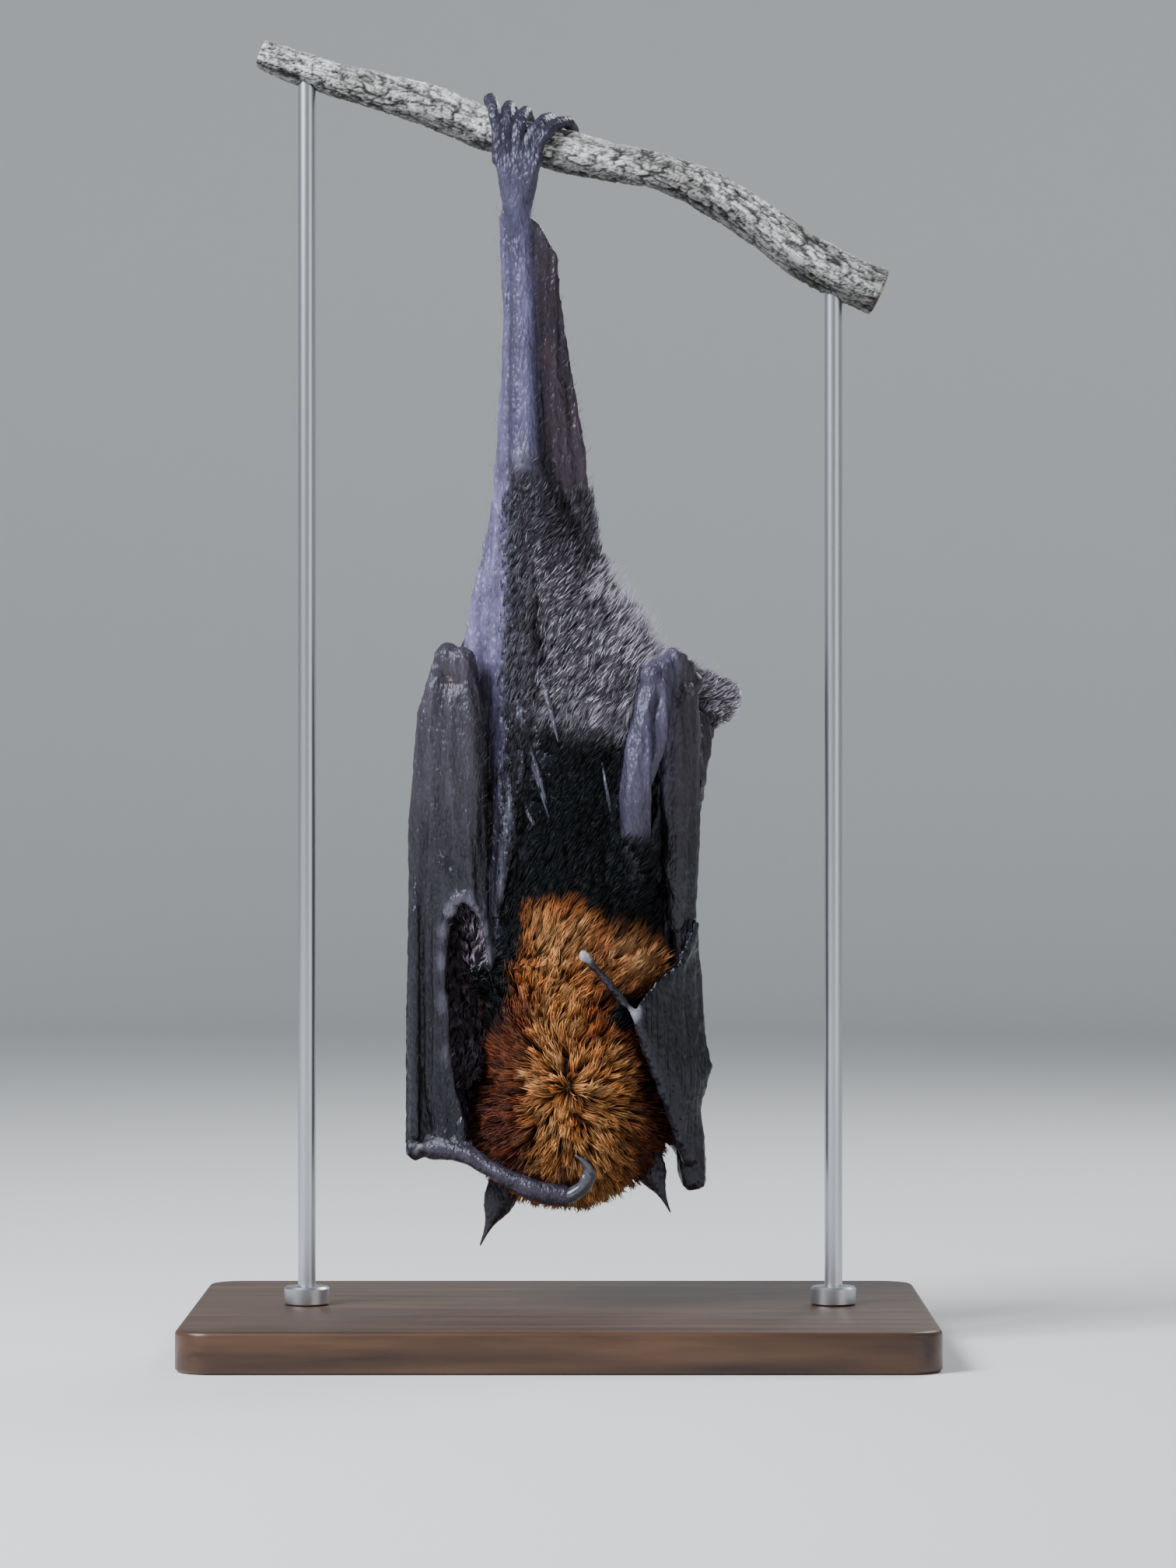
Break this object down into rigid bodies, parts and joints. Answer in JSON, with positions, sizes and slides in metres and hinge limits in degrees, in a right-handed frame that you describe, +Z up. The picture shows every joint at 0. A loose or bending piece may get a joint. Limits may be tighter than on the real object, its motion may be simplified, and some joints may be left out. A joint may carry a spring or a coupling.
{
  "type": "fruit bat display model",
  "caption": "Life-size still model of a large fruit bat hanging at rest by one foot from a cut branch on a plain stand.",
  "frame": {"origin": "middle of the underside of the stand's base", "axes": "+Z up, -Y towards the bat's back, +Y towards its face and belly, -X towards the bat's right side"},
  "size_m": [0.29, 0.2, 0.5156],
  "materials": {
    "mantle_fur": "dense orange-brown fur, paler in the middle",
    "body_fur": "short near-black fur with pale tips",
    "wing_skin": "fine wrinkled dark skin, satin",
    "nose_skin": "moist dark skin",
    "claw": "dark grey horn, polished",
    "eye": "wet, dark amber",
    "bark": "rough pale corky bark",
    "stand_wood": "dark satin wood",
    "stand_steel": "satin"
  },
  "bodies": {
    "root": {"belly": "body_fur", "chest": "body_fur", "ear_left": "wing_skin", "ear_right": "wing_skin", "eye_left": "eye", "eye_right": "eye", "head": "mantle_fur", "left_arm_web": "wing_skin", "left_finger_2": "wing_skin", "left_finger_3": "wing_skin", "left_finger_4": "wing_skin", "left_finger_5": "wing_skin", "left_flank_web": "wing_skin", "left_foot": "wing_skin", "left_forearm": "wing_skin", "left_hand_web": "wing_skin", "left_open_web": "wing_skin", "left_shank": "body_fur", "left_side_web": "wing_skin", "left_thigh": "body_fur", "left_thumb": "wing_skin", "left_thumb_claw": "claw", "left_toe_1": "wing_skin", "left_toe_2": "wing_skin", "left_toe_3": "wing_skin", "left_toe_4": "wing_skin", "left_toe_5": "wing_skin", "left_upper_arm": "wing_skin", "neck": "mantle_fur", "nose": "nose_skin", "perch_branch": "bark", "right_arm_web": "wing_skin", "right_calcar": "wing_skin", "right_finger_2": "wing_skin", "right_finger_3": "wing_skin", "right_finger_4": "wing_skin", "right_finger_5": "wing_skin", "right_flank_web": "wing_skin", "right_foot": "wing_skin", "right_forearm": "wing_skin", "right_hand_web": "wing_skin", "right_shank": "wing_skin", "right_side_web": "wing_skin", "right_thigh": "body_fur", "right_thumb": "wing_skin", "right_thumb_claw": "claw", "right_toe_1": "wing_skin", "right_toe_2": "wing_skin", "right_toe_3": "wing_skin", "right_toe_4": "wing_skin", "right_toe_5": "wing_skin", "right_upper_arm": "wing_skin", "rump": "body_fur", "stand_base": "stand_wood", "stand_collar_left": "stand_steel", "stand_collar_right": "stand_steel", "stand_rod_left": "stand_steel", "stand_rod_right": "stand_steel", "tail_web": "wing_skin"}
  },
  "joints": []
}
